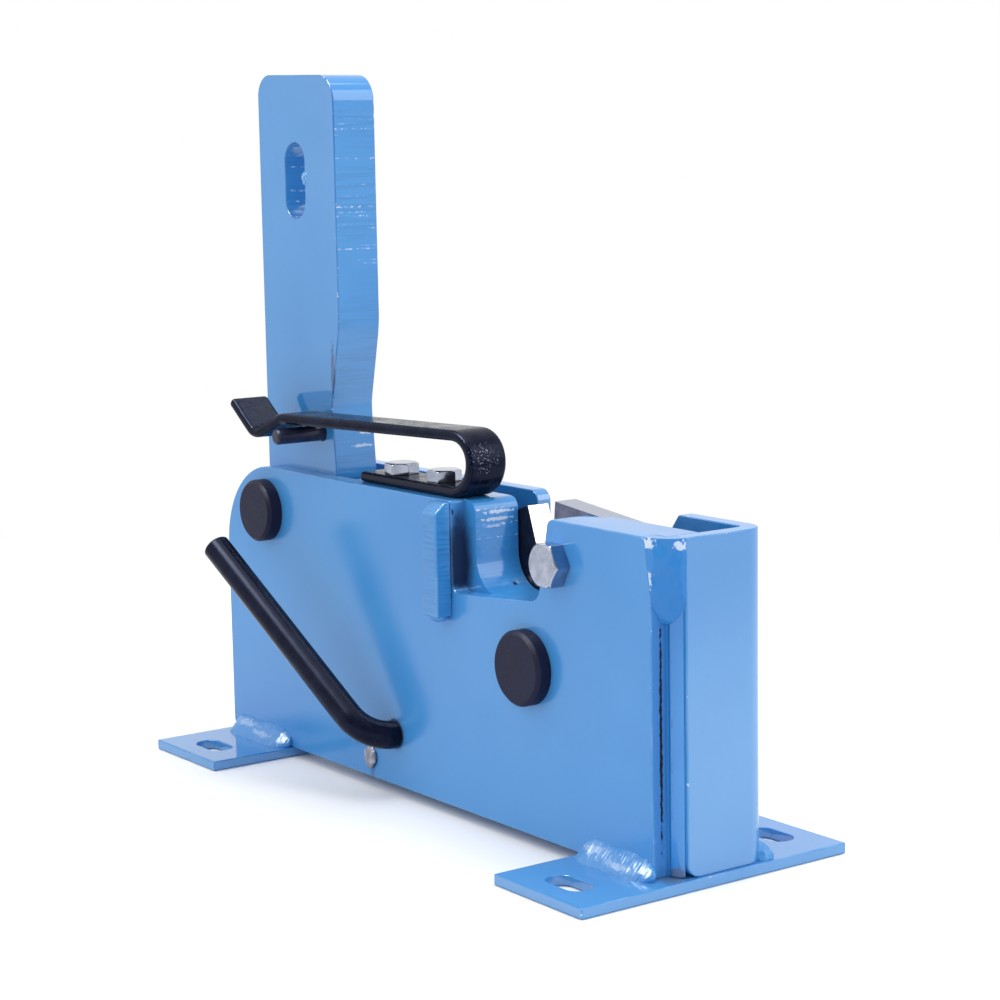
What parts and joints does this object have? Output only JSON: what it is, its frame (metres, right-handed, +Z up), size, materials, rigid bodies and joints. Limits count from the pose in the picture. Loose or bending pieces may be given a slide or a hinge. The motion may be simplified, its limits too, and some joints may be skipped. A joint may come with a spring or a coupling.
{
  "type": "manual rebar cutter",
  "caption": "Bench rebar cutter: a tall hand lever with a pinion drives a geared knife past a fixed blade in a notched plate frame on slotted feet, with a spring latch and a bent side rod.",
  "frame": {"origin": "on the floor, under the middle of the base plates", "axes": "+X along the frame to its bent front end, +Y from the near side plate with the latch and the rod to the far one, +Z up"},
  "size_m": [0.372, 0.15, 0.3561],
  "materials": {
    "blue_enamel": "glossy light blue enamel over flame-cut plate",
    "black_strip": "satin blue-black oxide",
    "black_pin": "matte black oxide",
    "zinc_bolt": "bright zinc",
    "knife_steel": "dark tool steel with a ground edge",
    "blade_steel": "ground tool steel",
    "spring_steel": "dark spring steel",
    "bush_bronze": "plain bearing bronze"
  },
  "bodies": {
    "frame": {"near_side_plate": "blue_enamel", "far_side_plate": "blue_enamel", "body_block": "blue_enamel", "rear_base_plate": "blue_enamel", "front_base_plate": "blue_enamel", "bar_stop_rib": "blue_enamel", "base_welds": "blue_enamel", "seam_weld": "blue_enamel", "fixed_blade": "blade_steel", "fixed_blade_bolt": "zinc_bolt", "lever_pin": "black_pin", "lever_pin_ring": "spring_steel", "lever_spacer": "spring_steel", "knife_pin": "black_pin", "knife_pin_ring": "spring_steel", "knife_spacer": "spring_steel", "latch_foot": "black_strip", "latch_bend": "black_strip", "latch_bolts": "zinc_bolt", "rod_plug": "zinc_bolt"},
    "lever": {"hand_lever": "blue_enamel", "lever_bush": "bush_bronze", "drive_pinion": "knife_steel", "pinion_screws": "zinc_bolt", "latch_pin": "black_strip"},
    "knife": {"knife_lever": "knife_steel", "knife_bush": "bush_bronze"},
    "latch": {"latch_arm": "black_strip"},
    "rod": {"side_rod": "black_strip"}
  },
  "joints": [
    {"name": "lever_swing", "type": "hinge", "parent": "frame", "child": "lever", "pos_m": [-0.144, 0, 0.13], "axis": [0, -1, 0], "range_deg": [0, 105], "deforming": ["latch_arm", "latch_bend"]},
    {"name": "knife_swing", "type": "hinge", "parent": "frame", "child": "knife", "pos_m": [0.087, 0, 0.0835], "axis": [0, 1, 0], "range_deg": [0, 19.69]},
    {"name": "latch_lift", "type": "hinge", "parent": "frame", "child": "latch", "pos_m": [0.02, 0, 0.1692], "axis": [0, 1, 0], "range_deg": [0, 10], "stiffness_Nm_per_rad": 12, "springref_deg": -2.86, "deforming": ["latch_bend"]},
    {"name": "rod_swing", "type": "hinge", "parent": "frame", "child": "rod", "pos_m": [-0.025, 0, 0.031], "axis": [0, -1, 0], "range_deg": [-140, 40]}
  ],
  "couplings": [
    {"joint": "knife_swing", "follows": "lever_swing", "ratio": 0.1875}
  ]
}
